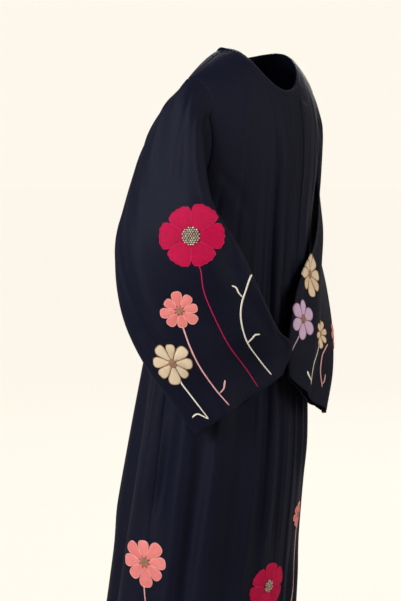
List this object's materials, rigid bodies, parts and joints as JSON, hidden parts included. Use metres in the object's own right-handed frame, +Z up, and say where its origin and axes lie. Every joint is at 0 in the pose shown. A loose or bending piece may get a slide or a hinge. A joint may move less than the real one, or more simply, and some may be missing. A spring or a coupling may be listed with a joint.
{
  "type": "worn abaya cloak",
  "caption": "Hollow worn open-front black abaya with wide sleeves, draped as on a standing wearer, with applique cosmos and rose flowers on sleeves and skirt.",
  "frame": {"origin": "middle of the neck, level with the points where the shoulder seams meet the neckline", "axes": "+Z up, the wearer faces -Y and the wearer's left is +X"},
  "size_m": [0.5599, 0.5033, 1.4174],
  "materials": {
    "black_crepe": "matt black crepe with a soft sheen",
    "crimson": "satin-stitched crimson thread",
    "coral": "satin-stitched coral thread",
    "rose": "pale coral thread",
    "cream": "satin-stitched cream thread",
    "ivory": "pale cream thread",
    "lilac": "satin-stitched lilac thread",
    "tan_beads": "small tan and brown beads"
  },
  "bodies": {
    "root": {"front_right": "black_crepe", "front_left": "black_crepe", "back": "black_crepe", "sleeve_right": "black_crepe", "sleeve_left": "black_crepe", "neck_binding": "black_crepe", "front_band": "black_crepe", "bloom_red_cosmos_right_sleeve": "crimson", "centre_red_cosmos_right_sleeve": "tan_beads", "bloom_coral_rose_right_sleeve": "coral", "centre_coral_rose_right_sleeve": "tan_beads", "bloom_cream_rose_right_sleeve": "cream", "centre_cream_rose_right_sleeve": "tan_beads", "bloom_cream_daisy_left_sleeve": "cream", "centre_cream_daisy_left_sleeve": "tan_beads", "bloom_lilac_cosmos_left_sleeve": "lilac", "centre_lilac_cosmos_left_sleeve": "tan_beads", "bloom_small_daisy_left_sleeve": "cream", "centre_small_daisy_left_sleeve": "tan_beads", "bloom_coral_rose_left_sleeve": "coral", "centre_coral_rose_left_sleeve": "tan_beads", "bloom_coral_rose_side_right": "coral", "centre_coral_rose_side_right": "tan_beads", "bloom_red_cosmos_back_right": "crimson", "centre_red_cosmos_back_right": "tan_beads", "bloom_red_cosmos_front": "crimson", "centre_red_cosmos_front": "tan_beads", "bloom_coral_rose_front_left": "coral", "centre_coral_rose_front_left": "tan_beads", "bloom_coral_rose_side_left": "coral", "centre_coral_rose_side_left": "tan_beads", "bloom_red_cosmos_back_left": "crimson", "centre_red_cosmos_back_left": "tan_beads", "stem_red_right_sleeve": "crimson", "stem_coral_right_sleeve": "rose", "twig_coral_right_sleeve": "rose", "stem_cream_right_sleeve": "ivory", "curl_cream_right_sleeve": "ivory", "sprig_right_sleeve": "ivory", "twig_upper_right_sleeve": "ivory", "twig_lower_right_sleeve": "ivory", "stem_lilac_left_sleeve": "lilac", "stem_daisy_left_sleeve": "ivory", "twig_daisy_left_sleeve": "ivory", "stem_coral_left_sleeve": "rose", "twig_coral_left_sleeve": "rose", "stem_side_right": "rose", "stem_back_right": "crimson", "stem_front": "crimson", "stem_front_left": "rose", "stem_side_left": "rose", "stem_back_left": "crimson"}
  },
  "joints": []
}
